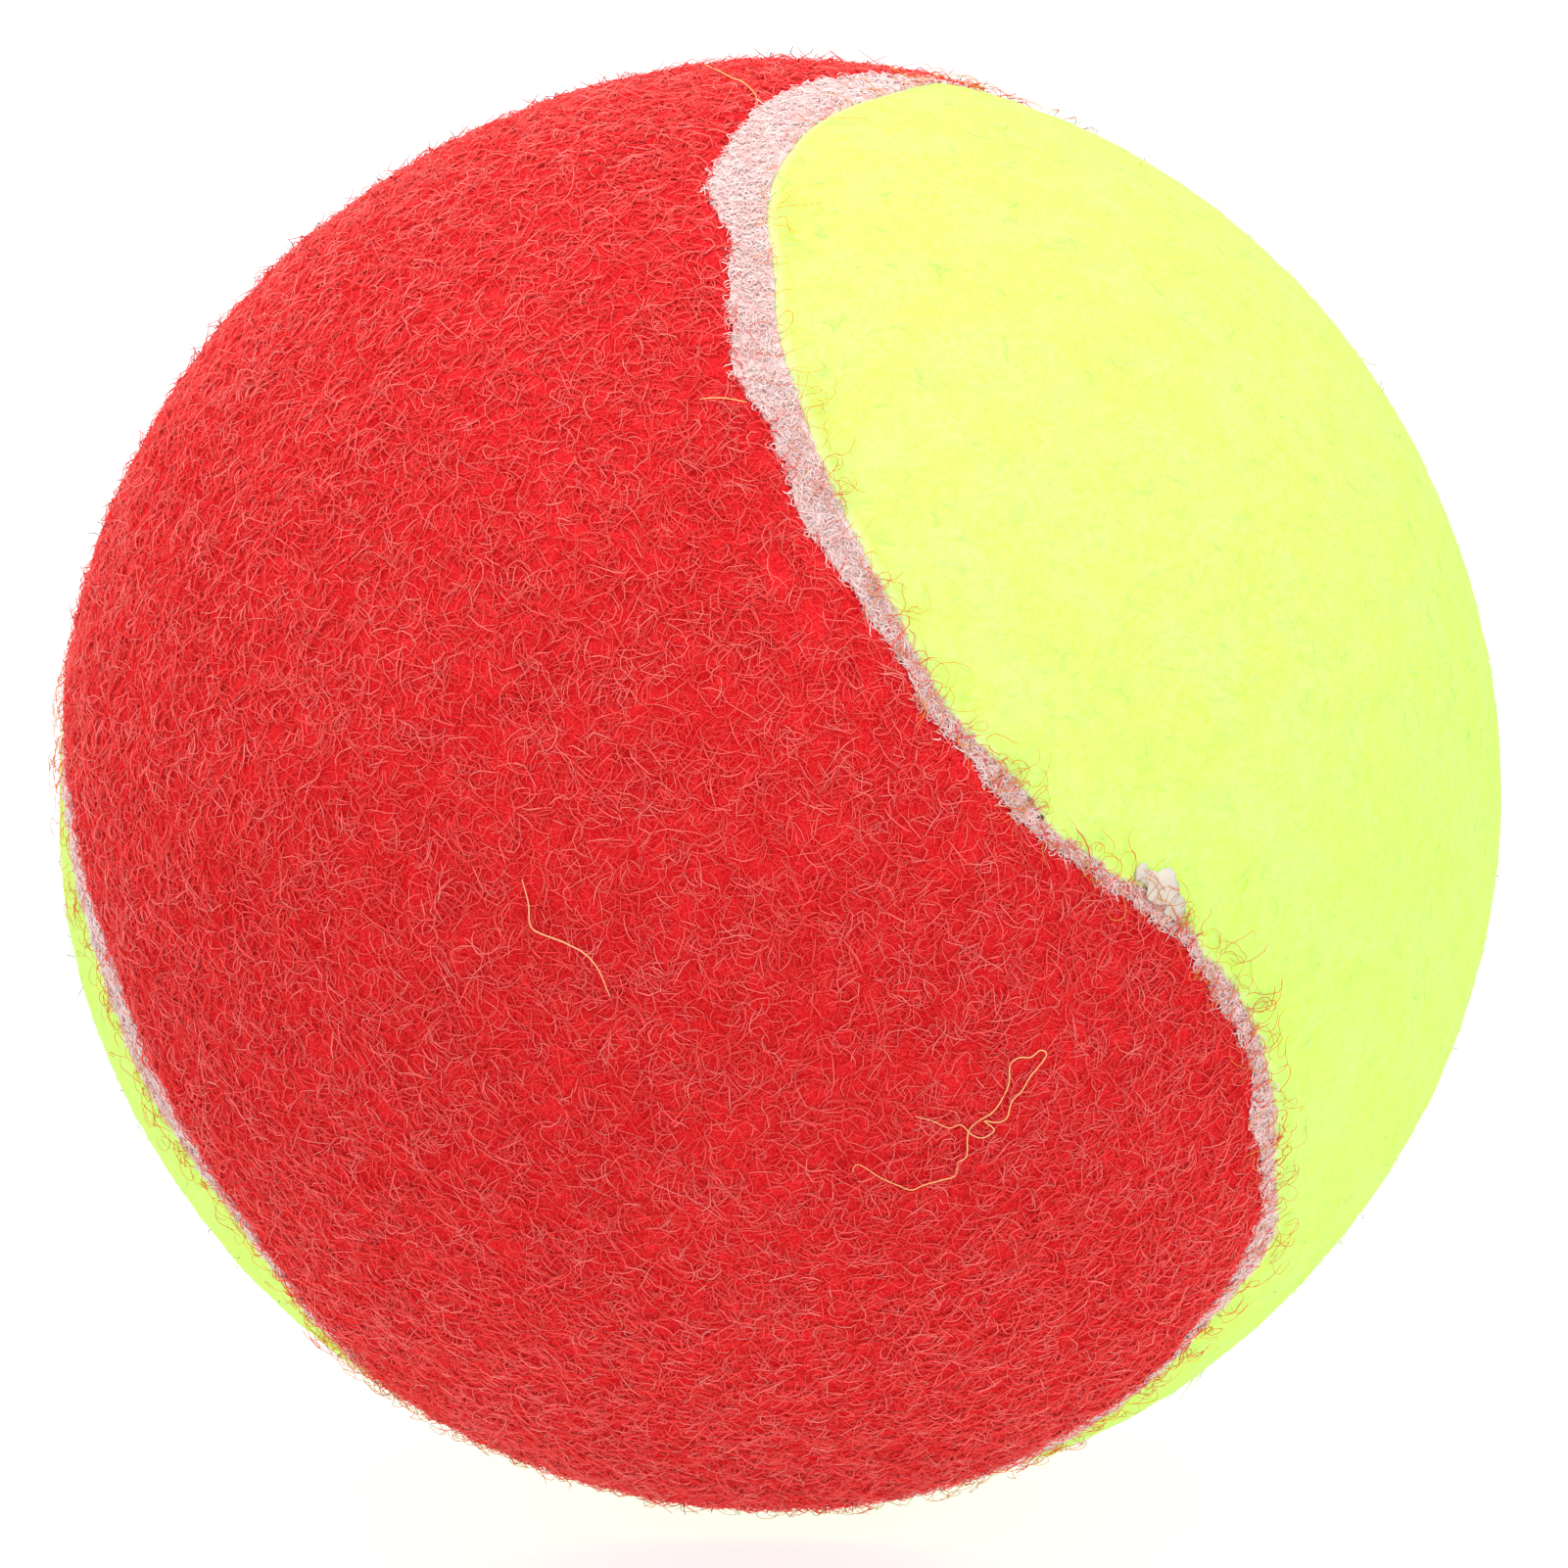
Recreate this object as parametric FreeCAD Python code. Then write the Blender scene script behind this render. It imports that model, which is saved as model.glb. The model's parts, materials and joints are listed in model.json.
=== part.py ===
# A juggling ball built like a soft training ball: a hollow rubber core, covered with two
# interlocking felt panels, one red and one yellow, that meet in a recessed white cement seam.
#
# Every layer is its own solid.  From the inside out: two moulded rubber half shells with a cement
# joint between them, a cement coat over the core, and then, for each panel, the cement on the
# panel's back, its woven base cloth, its felt pile and the white cement dipped onto its cut edge.
#
# Units are millimetres.  The origin is the centre of the ball, and +Z is up.
import FreeCAD, Part

import math
import os

from FreeCAD import Vector

# ---- Driving dimensions ----------------------------------------------------------------------

BALL_DIAMETER = 75.0        # over the felt
PILE_HEIGHT = 2.55          # raised felt above its base cloth
BASE_CLOTH = 0.45           # woven cloth that holds the pile
BACK_COAT = 0.15            # cement on the back of each panel
CORE_COAT = 0.15            # cement that the moulded core is dipped in
CORE_WALL = 1.4             # rubber of the half shells

JOINT_FILM = 0.15           # cement between the half shells
JOINT_BEAD_RADIUS = 0.5     # cement squeezed out of the joint into the core

SEAM_WIDTH = 1.6            # both panels' edge cement together
SEAM_DEPTH = 1.1            # from the felt surface down to the top of the cement
SHOULDER = 1.1              # how far the pile slopes back beside the seam

# The seam is one closed curve, the same for both panels.  On a sphere, in the panels' own axes,
# with t from 0 to 2 pi, its latitude is LATITUDE_2 sin 2t + LATITUDE_6 sin 6t and its longitude
# is t + LONGITUDE_4 sin 4t + LONGITUDE_8 sin 8t.  The red panel holds the north pole.
LATITUDE_2 = 0.8135
LATITUDE_6 = -0.0740
LONGITUDE_4 = -0.2912
LONGITUDE_8 = 0.0107
SEAM_ARCS = 8               # smooth arcs that each seam curve is made of
ARC_STEPS = 6               # steps between the points that an arc passes through

# How the ball lies: the panels' own axes are turned by these angles, in degrees.
LIE = FreeCAD.Rotation(-64.3, -2.8, 46.0)

# ---- Radii that follow -----------------------------------------------------------------------

BALL_RADIUS = BALL_DIAMETER / 2
CLOTH_RADIUS = BALL_RADIUS - PILE_HEIGHT
BACK_COAT_RADIUS = CLOTH_RADIUS - BASE_CLOTH
CORE_COAT_RADIUS = BACK_COAT_RADIUS - BACK_COAT
CORE_RADIUS = CORE_COAT_RADIUS - CORE_COAT
HOLLOW_RADIUS = CORE_RADIUS - CORE_WALL
SEAM_RADIUS = BALL_RADIUS - SEAM_DEPTH
HALF_SEAM = SEAM_WIDTH / 2

# The cutting walls reach past the layers on both sides.
WALL_INNER_RADIUS = CORE_RADIUS - 1.0
WALL_OUTER_RADIUS = BALL_RADIUS + 1.0
CENTRE = Vector(0, 0, 0)


# ---- The seam curve --------------------------------------------------------------------------

def turned(latitude, longitude):
    """Unit vector at a latitude and longitude of the panels, as the ball lies."""
    level = math.cos(latitude)
    own = Vector(level * math.cos(longitude), level * math.sin(longitude), math.sin(latitude))
    return LIE.multVec(own)


def seam_direction(t):
    """Unit vector from the centre of the ball to the middle of the seam."""
    latitude = LATITUDE_2 * math.sin(2 * t) + LATITUDE_6 * math.sin(6 * t)
    longitude = t + LONGITUDE_4 * math.sin(4 * t) + LONGITUDE_8 * math.sin(8 * t)
    return turned(latitude, longitude)


def beside_seam(t, offset):
    """Unit vector to a place beside the seam: offset mm over the felt, plus towards red."""
    step = 1e-4
    middle = seam_direction(t)
    along = seam_direction(t + step) - seam_direction(t - step)
    towards_red = middle.cross(along)
    towards_red.normalize()
    angle = offset / BALL_RADIUS
    return middle * math.cos(angle) + towards_red * math.sin(angle)


def seam_arc(number, radius, offset):
    """One of the smooth arcs that follow the seam at one radius."""
    def place(t):
        return beside_seam(t, offset) * radius

    def heading(t):
        step = 1e-4
        return (place(t + step) - place(t - step)) * (0.5 / step)

    span = 2 * math.pi / SEAM_ARCS
    turns = [span * (number + i / ARC_STEPS) for i in range(ARC_STEPS + 1)]
    curve = Part.BSplineCurve()
    curve.interpolate(
        Points=[place(t) for t in turns],
        Parameters=turns,
        InitialTangent=heading(turns[0]),
        FinalTangent=heading(turns[-1]),
    )
    return curve.toShape()


def ruled_wall(inner_radius, inner_offset, outer_radius, outer_offset):
    """Cutting faces all round the ball, straight from one seam curve out to another."""
    return [
        Part.makeRuledSurface(
            seam_arc(number, inner_radius, inner_offset),
            seam_arc(number, outer_radius, outer_offset),
        )
        for number in range(SEAM_ARCS)
    ]


def radial_wall(offset):
    """Cutting faces that stand square on the ball all along the seam."""
    return ruled_wall(WALL_INNER_RADIUS, offset, WALL_OUTER_RADIUS, offset)


def shouldered_wall(side):
    """Cutting faces for the pile: square up to the cement's top, then sloping back."""
    edge = side * HALF_SEAM
    slope = SHOULDER / SEAM_DEPTH
    past = WALL_OUTER_RADIUS - SEAM_RADIUS
    rim = side * (HALF_SEAM + slope * past)
    foot = ruled_wall(WALL_INNER_RADIUS, edge, SEAM_RADIUS, edge)
    return foot + ruled_wall(SEAM_RADIUS, edge, WALL_OUTER_RADIUS, rim)


# ---- Layers ----------------------------------------------------------------------------------

def panel_sphere(radius):
    """Ball whose poles lie in the middle of the two panels, and whose own join crosses the seam
    square on, at the end of a panel."""
    sphere = Part.makeSphere(radius)
    sphere.Placement = FreeCAD.Placement(CENTRE, LIE * FreeCAD.Rotation(Vector(0, 0, 1), 45))
    return sphere


def shell(inner_radius, outer_radius):
    return panel_sphere(outer_radius).cut(panel_sphere(inner_radius))


def piece_holding(solids, point):
    """The one of the solids that a point lies in."""
    found = [solid for solid in solids if solid.isInside(point, 1e-3, False)]
    if len(found) != 1:
        raise ValueError("the point lies in %d pieces" % len(found))
    return found[0]


def panel_layer(side, inner_radius, outer_radius, walls):
    """One panel's share of a layer, cut out along its walls.  side is 1 for red, -1 for yellow."""
    pieces, _ = shell(inner_radius, outer_radius).generalFuse(walls)
    middle = turned(side * math.pi / 2, 0) * ((inner_radius + outer_radius) / 2)
    return piece_holding(pieces.Solids, middle)


def back_coat(side):
    return panel_layer(side, CORE_COAT_RADIUS, BACK_COAT_RADIUS, radial_wall(side * HALF_SEAM))


def base_cloth(side):
    return panel_layer(side, BACK_COAT_RADIUS, CLOTH_RADIUS, radial_wall(side * HALF_SEAM))


def felt_pile(side):
    return panel_layer(side, CLOTH_RADIUS, BALL_RADIUS, shouldered_wall(side))


def edge_cement(side):
    """The white cement on one panel's edge, from the core's coat up to the seam's surface."""
    edge = side * HALF_SEAM
    corners = [
        (CORE_COAT_RADIUS, 0),
        (SEAM_RADIUS, 0),
        (SEAM_RADIUS, edge),
        (CORE_COAT_RADIUS, edge),
    ]
    faces = []
    for corner, following in zip(corners, corners[1:] + corners[:1]):
        faces += ruled_wall(*corner, *following)
    skin = Part.makeShell(faces)
    skin.sewShape()
    strip = Part.makeSolid(skin)
    if strip.Volume < 0:
        strip.reverse()
    return strip


# ---- Core ------------------------------------------------------------------------------------

def core_slab(low, high):
    """Block as wide as the core, between two heights."""
    reach = CORE_RADIUS + 1.0
    return Part.makeBox(2 * reach, 2 * reach, high - low, Vector(-reach, -reach, low))


def core_shell():
    return Part.makeSphere(CORE_RADIUS).cut(Part.makeSphere(HOLLOW_RADIUS))


def half_shell(side):
    """One moulded half of the core.  side is 1 for the upper half, -1 for the lower."""
    film = JOINT_FILM / 2
    far = CORE_RADIUS + 1.0
    low, high = sorted((side * film, side * far))
    return core_shell().common(core_slab(low, high))


def joint_cement():
    """The film between the half shells, with the bead that it squeezes into the core."""
    film = core_shell().common(core_slab(-JOINT_FILM / 2, JOINT_FILM / 2))
    bead = Part.makeTorus(HOLLOW_RADIUS, JOINT_BEAD_RADIUS).common(Part.makeSphere(HOLLOW_RADIUS))
    return film.fuse(bead).removeSplitter()


def cement_coat():
    return shell(CORE_RADIUS, CORE_COAT_RADIUS)


# ---- The whole ball --------------------------------------------------------------------------

def sub_parts():
    """Every node's name and shape."""
    parts = {
        "core_half_shell_upper": half_shell(1),
        "core_half_shell_lower": half_shell(-1),
        "core_joint_cement": joint_cement(),
        "core_cement_coat": cement_coat(),
    }
    for colour, side in (("red", 1), ("yellow", -1)):
        parts[colour + "_panel_back_coat"] = back_coat(side)
        parts[colour + "_panel_base_cloth"] = base_cloth(side)
        parts[colour + "_felt_pile"] = felt_pile(side)
        parts[colour + "_panel_edge_cement"] = edge_cement(side)
    return parts


def main():
    os.makedirs("parts", exist_ok=True)
    for node, shape in sub_parts().items():
        shape.exportStep("parts/" + node + ".step")
        print("%-26s %9.1f mm3  solids %d  valid %s" % (
            node, shape.Volume, len(shape.Solids), shape.isValid()))


main()
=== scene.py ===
# How the juggling ball looks: two felt panels with their loose fibres, one red and one yellow,
# and the fuzzy white cement seam between them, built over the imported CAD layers.
#
# Shapes are worked out in millimetres from the centre of the ball and become metres in new_piece().
# Most of them are kept as a direction from the centre and a radius.
import json
import math

import bmesh
import bpy
import numpy as np
from mathutils import Euler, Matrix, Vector


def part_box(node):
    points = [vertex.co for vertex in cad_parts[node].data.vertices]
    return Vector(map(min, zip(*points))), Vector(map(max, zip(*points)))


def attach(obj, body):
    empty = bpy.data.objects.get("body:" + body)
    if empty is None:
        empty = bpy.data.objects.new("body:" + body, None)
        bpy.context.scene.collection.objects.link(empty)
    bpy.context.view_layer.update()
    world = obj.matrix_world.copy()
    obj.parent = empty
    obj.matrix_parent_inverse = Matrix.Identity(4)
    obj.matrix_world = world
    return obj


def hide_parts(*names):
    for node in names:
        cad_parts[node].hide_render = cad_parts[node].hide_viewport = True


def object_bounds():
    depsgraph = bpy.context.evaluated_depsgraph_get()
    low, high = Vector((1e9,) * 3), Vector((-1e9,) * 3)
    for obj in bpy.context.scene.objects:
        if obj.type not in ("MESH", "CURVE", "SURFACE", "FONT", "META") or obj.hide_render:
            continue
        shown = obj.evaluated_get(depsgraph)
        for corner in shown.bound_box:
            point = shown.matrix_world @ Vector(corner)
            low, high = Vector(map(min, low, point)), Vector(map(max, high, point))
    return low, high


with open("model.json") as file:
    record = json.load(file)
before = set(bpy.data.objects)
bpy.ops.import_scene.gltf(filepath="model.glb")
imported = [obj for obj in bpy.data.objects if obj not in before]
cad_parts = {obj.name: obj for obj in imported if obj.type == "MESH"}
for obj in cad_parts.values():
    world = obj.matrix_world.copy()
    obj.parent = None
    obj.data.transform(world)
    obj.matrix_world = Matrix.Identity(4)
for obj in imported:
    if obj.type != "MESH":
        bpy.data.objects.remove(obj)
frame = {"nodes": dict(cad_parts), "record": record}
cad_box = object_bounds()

MM = 0.001


def radius_of(*nodes):
    """How far these CAD nodes reach from the centre of the ball, in mm."""
    corners = [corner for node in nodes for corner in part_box(node)]
    return max(abs(value) for corner in corners for value in corner) / MM


# ---- Driving dimensions, in mm ---------------------------------------------------------------

BALL_RADIUS = radius_of("red_felt_pile", "yellow_felt_pile")
CLOTH_RADIUS = radius_of("red_panel_base_cloth", "yellow_panel_base_cloth")
CORE_COAT_RADIUS = radius_of("core_cement_coat")
SEAM_RADIUS = BALL_RADIUS - 0.42    # top of the cement
FELT_RADIUS = BALL_RADIUS - 0.25    # felt under its loose fibres
CAD_HALF_SEAM = 0.8                 # half the width between the two base cloths

SHOULDER = 0.9                      # how far in the felt starts to round over beside the seam
LUMPS = [(2.2, 0.10), (1.0, 0.07), (0.6, 0.04)]     # size and height of the felt's lumps
WAVES = (25.0, 0.10)                # size and height of the whole ball's slight waves
# Where the ball is a little out of round: azimuth, elevation and spread in degrees, and height.
# Azimuth 0 is towards -Y, and 90 towards +X.
SWELLINGS = [(0, -78, 40, 0.25), (75, 25, 28, -0.15), (-114, 62, 25, -0.20), (-83, -29, 22, 0.25),
             (84, -24, 20, 0.15), (-92, -13, 12, 0.35), (88, -57, 12, 0.40)]

# The seam's curve on the ball, as in the CAD: with t from 0 to 2 pi, the latitude is
# LATITUDE_2 sin 2t + LATITUDE_6 sin 6t and the longitude t + LONGITUDE_4 sin 4t + LONGITUDE_8 sin 8t.
LATITUDE_2 = 0.8135
LATITUDE_6 = -0.0740
LONGITUDE_4 = -0.2912
LONGITUDE_8 = 0.0107
LIE = Euler((math.radians(46.0), math.radians(-2.8), math.radians(-64.3)), "XYZ")
LIE_MATRIX = np.array(LIE.to_matrix())

RED = 1         # the side of the seam with the panels' north pole
YELLOW = -1
LUMPINESS = {RED: 1.0, YELLOW: 0.4}     # the yellow felt lies smoother

# How far each panel's rim stays back from the seam's middle, and where along the seam it stays back
# further: place and spread in degrees, and how much.  Less than nothing is past the middle.
RIMS = {
    RED: (0.55, [(66, 4, -1.20), (56, 11, 1.40), (45.5, 3, 0.55), (41, 3, -0.60), (33, 3, 0.80),
                 (25, 2.5, 0.55), (4, 8, 0.40), (339, 4, 0.40), (331, 4, -0.60), (327, 3, 0.50),
                 (314, 10, 3.10), (263, 6, 0.90), (250, 15, 2.10), (244, 4, 0.60), (237, 5, 1.00),
                 (150, 16, 0.70)]),
    YELLOW: (0.12, [(72, 5, -2.60), (61, 6, 1.05), (46, 20, 1.35), (39, 3, 0.40), (22, 4, 0.30),
                    (14, 3, -0.30), (2, 4, -1.30), (357, 2, 0.50), (352, 2, -0.40),
                    (330.5, 3, 1.60), (318, 10, -2.50), (262, 6, -1.10), (253, 17, -1.30),
                    (250, 3.5, 1.10), (200, 16, 0.60)]),
}
NARROWEST = 0.3                     # the least that the two rims leave bare between them
# Size and depth of the nicks along each rim.
RAGGED = {RED: [(5.0, 0.10), (2.0, 0.25), (0.9, 0.20), (0.5, 0.12)],
          YELLOW: [(6.0, 0.08), (1.5, 0.06)]}

# Kinds of fibre in each panel's tangle: the share of them, their lengths and widths, their bend in
# radians per mm, how far they rise out of the felt, and the share of them with a free end.
FIBRE_KINDS = {
    RED: [(0.86, (0.9, 2.6), (0.045, 0.075), 1.4, (0.00, 0.30), 0.3),
          (0.12, (0.9, 2.4), (0.045, 0.065), 1.4, (0.25, 0.55), 0.6),
          (0.02, (1.2, 2.6), (0.040, 0.055), 1.2, (0.60, 0.95), 1.0)],
    YELLOW: [(0.94, (0.8, 2.2), (0.045, 0.070), 1.5, (-0.01, 0.02), 0.1),
             (0.04, (0.8, 2.0), (0.040, 0.055), 1.8, (0.08, 0.25), 0.6),
             (0.02, (1.2, 2.4), (0.040, 0.050), 1.4, (0.30, 0.60), 1.0)],
}
FIBRE_DENSITY = {RED: 9.5, YELLOW: 1.8}     # fibres to a square mm
OVERHANG = {RED: 0.60, YELLOW: 0.08}        # how far they hang over the seam, on average
FIBRE_POINTS = 5                    # along each fibre of the felt
FUZZ_COUNT = 30000                  # short white fibres in the seam
FUZZ_POINTS = 6
HAIR_COUNT = 1500                   # stray hairs over the yellow edge
HAIR_POINTS = 12
FIBRES_PER_PIECE = 7500
PAINTED_RIDGE_LIGHT = (1.0, 0.3, 0.3)             # painted highlight along each fibre's top, painted shade down its two sides
OUTWARDS = 1.5                      # how far the way that a fibre faces is turned outwards

# Loose threads: azimuth and elevation in degrees of where each lies, and its course from there, in
# mm to the right and up.
THREAD_WIDTH = 0.07
THREAD_HEIGHT = 0.38                # of its middle over the felt
THREADS = [
    (-16.3, -1.7, [(-2.0, 3.2), (-1.7, 2.0), (-1.6, 1.0), (-1.1, 0.6), (0.1, 0.2), (1.1, -0.3),
                   (1.8, -1.1), (2.3, -2.4)]),
    (14.6, -15.9, [(-2.9, 0.6), (-2.0, 0.3), (-1.2, -0.1), (-0.6, 0.0), (0.0, -0.6), (0.6, -0.8),
                   (1.1, -0.4), (0.6, 0.1), (1.2, 0.0), (1.7, 0.2), (1.9, 1.0), (2.4, 1.6),
                   (2.8, 2.4), (3.5, 3.4), (3.2, 3.7), (2.7, 3.4), (2.1, 3.4), (1.7, 3.0),
                   (1.7, 1.9), (1.1, 0.7), (0.1, 0.0), (-0.2, -0.6), (-0.2, -1.7), (-0.6, -2.1),
                   (-0.7, -2.8), (-1.5, -3.0), (-2.2, -3.2), (-2.8, -3.5), (-3.5, -3.2),
                   (-4.3, -2.8), (-5.5, -2.1), (-5.8, -2.5)]),
    (-5.2, 39.8, [(-1.1, 0.2), (-0.2, 0.2), (0.6, 0.1), (1.2, 0.0)]),
    (-20.3, 81.4, [(-3.4, 4.6), (-1.3, 1.6), (0.5, -0.3), (1.8, -2.0), (2.5, -3.5)]),
]

# Crumbs by the seam: azimuth, elevation, size in mm, how flat each is, and a shade from dark to pale.
CRUMBS = [
    (29.3, 1.3, 1.7, 0.15, 1.0), (30.6, -0.3, 1.2, 0.15, 0.95), (27.8, 2.4, 0.9, 0.2, 0.95),
    (19.0, 8.5, 0.45, 0.6, 0.5), (19.7, 7.2, 0.35, 0.6, 0.0),
]

# The camera: metres from the ball's centre, degrees up and rolled, and the lens.
CAMERA_DISTANCE = 0.45
CAMERA_ELEVATION = 10.7
CAMERA_ROLL = -0.6
CAMERA_LENS = 198.7
CAMERA_SHIFT = (0.0022, -0.0012)


# ---- Numbers that repeat ---------------------------------------------------------------------

HASH_PRIMES = np.array([73856093, 19349663, 83492791], np.uint64)


def lattice_value(cell, seed):
    """A repeatable number from -1 to 1 for each point of a whole-number lattice."""
    mixed = np.bitwise_xor.reduce(cell.astype(np.int64).view(np.uint64) * HASH_PRIMES, axis=-1)
    mixed ^= np.uint64(seed * 2654435761)
    mixed = (mixed ^ (mixed >> np.uint64(13))) * np.uint64(0x9E3779B97F4A7C15)
    return (mixed >> np.uint64(40)).astype(float) / 2**23 - 1


def noise(points, cell, seed):
    """Smooth repeatable noise from -1 to 1, with bumps about one cell (in mm) across."""
    scaled = points / cell
    corner = np.floor(scaled)
    share = scaled - corner
    share = share * share * (3 - 2 * share)
    total = 0
    for step in np.ndindex(2, 2, 2):
        weight = np.where(step, share, 1 - share).prod(axis=-1)
        total = total + weight * lattice_value(corner + step, seed)
    return total


def dot(first, second):
    return (first * second).sum(axis=-1)


def unit(vectors):
    return vectors / np.linalg.norm(vectors, axis=-1, keepdims=True)


# ---- The seam --------------------------------------------------------------------------------

def seam_direction(turn):
    latitude = LATITUDE_2 * np.sin(2 * turn) + LATITUDE_6 * np.sin(6 * turn)
    longitude = turn + LONGITUDE_4 * np.sin(4 * turn) + LONGITUDE_8 * np.sin(8 * turn)
    level = np.cos(latitude)
    own = np.stack([level * np.cos(longitude), level * np.sin(longitude), np.sin(latitude)], -1)
    return own @ LIE_MATRIX.T


def seam_axes(turn):
    """The direction of the seam's middle, its rate of change, and the way across it to red."""
    step = 1e-4
    middle = seam_direction(turn)
    rate = (seam_direction(turn + step) - seam_direction(turn - step)) / (2 * step)
    return middle, rate, unit(np.cross(middle, rate))


def beside_seam(turn, offset):
    """Direction to a place beside the seam: offset mm over the felt, plus towards red."""
    middle, _, to_red = seam_axes(turn)
    angle = np.asarray(offset)[..., None] / BALL_RADIUS
    return middle * np.cos(angle) + to_red * np.sin(angle)


SAMPLE_TURNS = np.linspace(0, 2 * math.pi, 1408, endpoint=False)
SAMPLE_AXES = seam_axes(SAMPLE_TURNS)


def seam_place(directions):
    """The nearest turn of the seam to each direction, and the offset from it."""
    flat = directions.reshape(-1, 3)
    samples = SAMPLE_AXES[0].T.astype(np.float32)
    parts = np.array_split(flat.astype(np.float32), len(flat) // 4096 + 1)
    nearest = np.concatenate([(part @ samples).argmax(axis=1) for part in parts])
    middle, rate, _ = (axis[nearest] for axis in SAMPLE_AXES)
    past = dot(flat - middle, rate) / dot(rate, rate)
    spacing = SAMPLE_TURNS[1]
    turn = SAMPLE_TURNS[nearest] + np.clip(past, -spacing, spacing)
    _, _, to_red = seam_axes(turn)
    offset = np.arcsin(np.clip(dot(flat, to_red), -1, 1)) * BALL_RADIUS
    return turn.reshape(directions.shape[:-1]), offset.reshape(directions.shape[:-1])


def swell(turn, place, spread):
    """A smooth bump from 0 to 1 about one place along the seam, both in degrees."""
    away = np.degrees(np.angle(np.exp(1j * (turn - math.radians(place))))) / spread
    return np.exp(-away * away)


def bare_width(turn, side):
    """From the seam's middle out to one panel's rim."""
    plain, swells = RIMS[side]
    width = plain + sum(extra * swell(turn, place, spread) for place, spread, extra in swells)
    middle = seam_direction(turn) * BALL_RADIUS
    for number, (cell, height) in enumerate(RAGGED[side]):
        width = width + height * noise(middle, cell, 40 + 5 * side + number)
    if side == YELLOW:
        width = np.maximum(width, NARROWEST - bare_width(turn, RED))
    return width


# ---- The ball's surface ----------------------------------------------------------------------

def direction_at(azimuth, elevation):
    """Direction to a place on the ball, in degrees, azimuth 0 towards -Y."""
    azimuth, elevation = math.radians(azimuth), math.radians(elevation)
    level = math.cos(elevation)
    return np.array([level * math.sin(azimuth), -level * math.cos(azimuth), math.sin(elevation)])


def out_of_round(directions):
    """How much further out the ball's surface lies than a true ball's."""
    size, height = WAVES
    out = height * noise(directions * BALL_RADIUS, size, 11)
    for azimuth, elevation, spread, height in SWELLINGS:
        away = np.degrees(np.arccos(np.clip(directions @ direction_at(azimuth, elevation), -1, 1)))
        out = out + height * np.exp(-(away / spread) ** 2)
    return out


def felt_radius(directions, inside, lumpiness):
    """Radius of the felt, before its loose fibres, from the distance in from its rim."""
    points = directions * BALL_RADIUS
    lumps = sum(height * noise(points, cell, number) for number, (cell, height) in enumerate(LUMPS))
    past = np.clip(1 - inside / SHOULDER, 0, 1)
    drop = (FELT_RADIUS - SEAM_RADIUS + 0.1) * (1 - np.sqrt(1 - past * past))
    return FELT_RADIUS + out_of_round(directions) + lumpiness * lumps * (1 - 0.6 * past) - drop


def cement_radius(directions, share):
    """Radius of the seam's cement. share runs from -1 to 1 across it."""
    points = directions * BALL_RADIUS
    rough = 0.09 * noise(points, 1.1, 21) + 0.06 * noise(points, 0.45, 22)
    return SEAM_RADIUS + out_of_round(directions) + rough + 0.12 * share * share


def ground(directions):
    """Radius of whatever lies on top at each direction, and the distance in from the nearest rim."""
    turn, offset = seam_place(directions)
    red, yellow = bare_width(turn, RED), bare_width(turn, YELLOW)
    inside = np.maximum(offset - red, -offset - yellow)
    lumpiness = np.where(offset > red, LUMPINESS[RED], LUMPINESS[YELLOW])
    felt = felt_radius(directions, np.maximum(inside, 0), lumpiness)
    cement = cement_radius(directions, np.clip(2 * (offset + yellow) / (red + yellow) - 1, -1, 1))
    return np.where(inside > 0, felt, cement), inside


# ---- Pieces ----------------------------------------------------------------------------------

def new_piece(name, points, triangles, material, slot, normals=None, **measures):
    """A piece of the ball from points in mm, with numbers for its material at each point."""
    mesh = bpy.data.meshes.new(name)
    mesh.vertices.add(len(points))
    mesh.vertices.foreach_set("co", (points * MM).astype(np.float32).ravel())
    mesh.loops.add(3 * len(triangles))
    mesh.loops.foreach_set("vertex_index", triangles.astype(np.int32).ravel())
    mesh.polygons.add(len(triangles))
    mesh.polygons.foreach_set("loop_start", np.arange(0, 3 * len(triangles), 3, dtype=np.int32))
    mesh.update(calc_edges=True)
    mesh.shade_smooth()
    if normals is not None:
        mesh.normals_split_custom_set_from_vertices(normals)
    for measure, values in measures.items():
        attribute = mesh.attributes.new(measure, "FLOAT", "POINT")
        attribute.data.foreach_set("value", values.astype(np.float32).ravel())
    mesh.materials.append(material)
    piece = bpy.data.objects.new(name, mesh)
    bpy.context.scene.collection.objects.link(piece)
    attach(piece, "root")
    return piece


def even_ball(subdivisions):
    """Directions and triangles spread evenly over a ball."""
    ball = bmesh.new()
    bmesh.ops.create_icosphere(ball, subdivisions=subdivisions, radius=1)
    mesh = bpy.data.meshes.new("even_ball")
    ball.to_mesh(mesh)
    ball.free()
    directions = np.empty(3 * len(mesh.vertices), np.float32)
    triangles = np.empty(len(mesh.loops), np.int32)
    mesh.vertices.foreach_get("co", directions)
    mesh.loops.foreach_get("vertex_index", triangles)
    bpy.data.meshes.remove(mesh)
    return unit(directions.reshape(-1, 3).astype(float)), triangles.reshape(-1, 3)


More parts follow.
